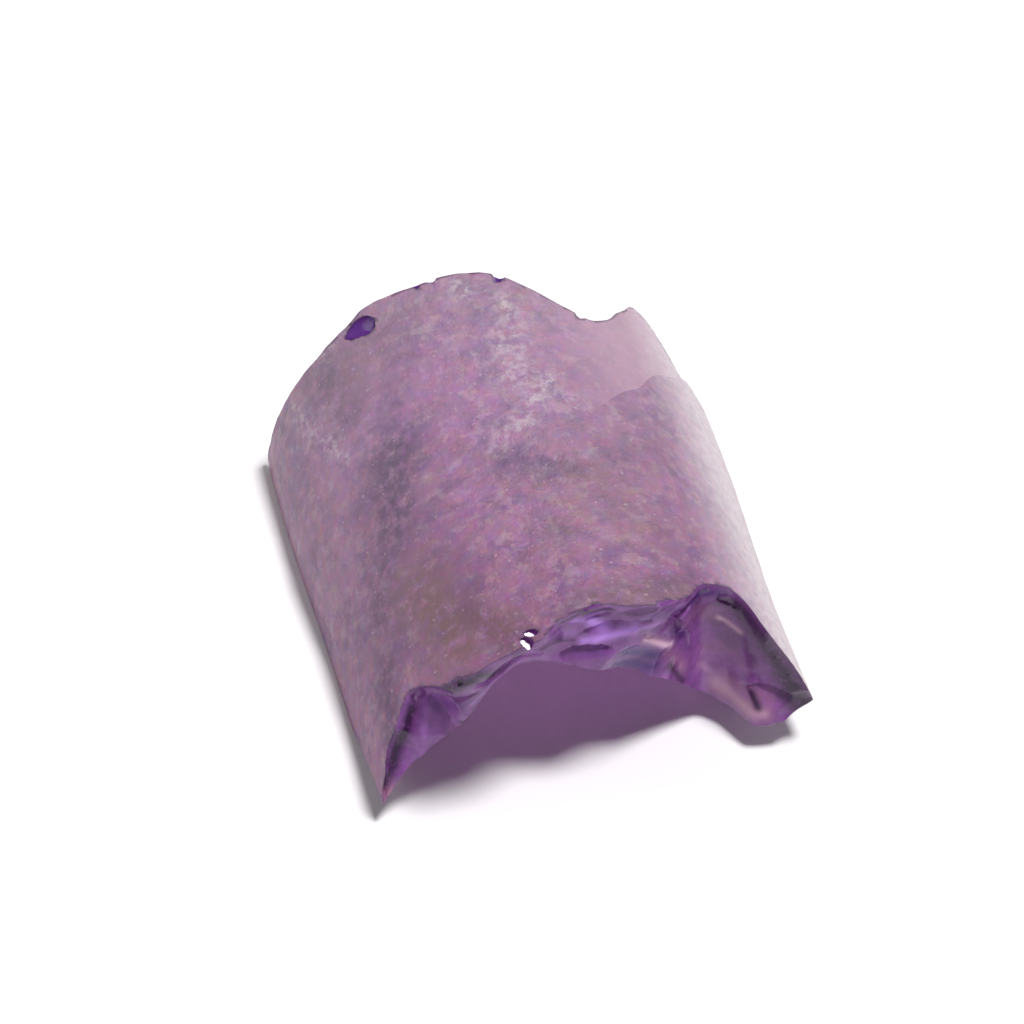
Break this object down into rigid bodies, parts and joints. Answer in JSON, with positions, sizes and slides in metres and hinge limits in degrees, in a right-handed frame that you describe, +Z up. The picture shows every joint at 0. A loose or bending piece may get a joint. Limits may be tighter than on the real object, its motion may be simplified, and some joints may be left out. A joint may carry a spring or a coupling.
{
  "type": "rough alexandrite",
  "caption": "Rough alexandrite: half of a round crystal boule, frosted skin outside, broken violet ends and a trough under it that makes an arch",
  "frame": {"origin": "bottom centre of the stone's box, on the floor that it lies on", "axes": "+Y along the boule, away from the arched end; +Z up, from the split side to the round skin; +X towards the thick right wall"},
  "size_m": [0.0266, 0.0295, 0.0132],
  "materials": {
    "stone": "frosted mauve growth skin outside; glassy violet breaks at the ends and in the trough"
  },
  "bodies": {
    "root": {"alexandrite_rough": "stone"}
  },
  "joints": []
}
